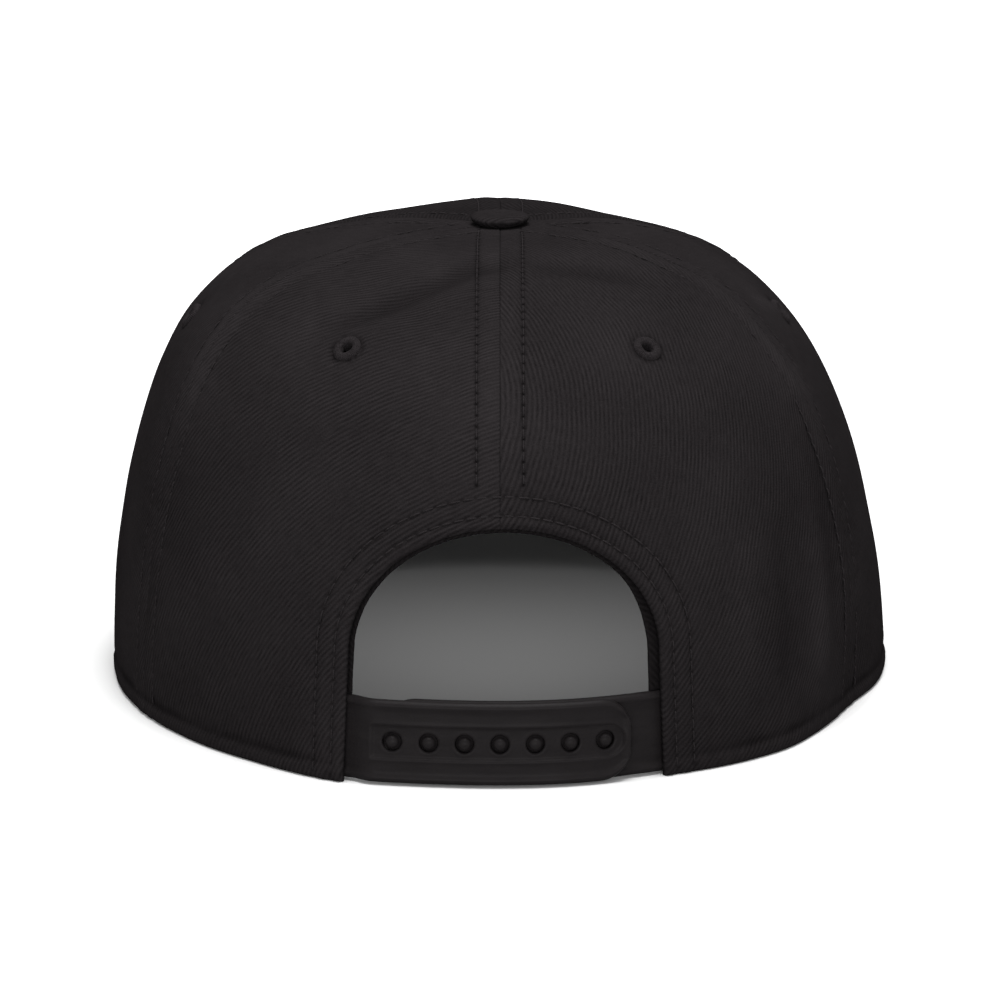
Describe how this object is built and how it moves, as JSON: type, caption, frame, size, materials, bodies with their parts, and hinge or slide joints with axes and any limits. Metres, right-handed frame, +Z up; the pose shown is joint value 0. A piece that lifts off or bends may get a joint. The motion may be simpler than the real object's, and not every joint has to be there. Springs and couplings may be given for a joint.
{
  "type": "snapback cap",
  "caption": "Six-panel cap with a structured crown, flat peak, top button, sewn eyelets and a plastic snap strap across an arched back opening.",
  "frame": {"origin": "middle of the footprint, on the surface that the rim rests on", "axes": "+Z up, peak pointing to -Y, snap strap and open back at +Y, wearer's left at +X"},
  "size_m": [0.1874, 0.2622, 0.1124],
  "materials": {
    "cloth": "black cotton twill",
    "band": "black woven band",
    "thread": "black embroidery thread",
    "plastic": "black moulded plastic with a soft sheen"
  },
  "bodies": {
    "root": {"panel_back_left": "cloth", "panel_side_left": "cloth", "panel_front_left": "cloth", "panel_front_right": "cloth", "panel_side_right": "cloth", "panel_back_right": "cloth", "eyelet_back_left": "thread", "eyelet_side_left": "thread", "eyelet_front_left": "thread", "eyelet_front_right": "thread", "eyelet_side_right": "thread", "eyelet_back_right": "thread", "button": "cloth", "opening_tape": "cloth", "sweatband": "band", "peak": "cloth", "strap_holes": "plastic", "strap_studs": "plastic"}
  },
  "joints": []
}
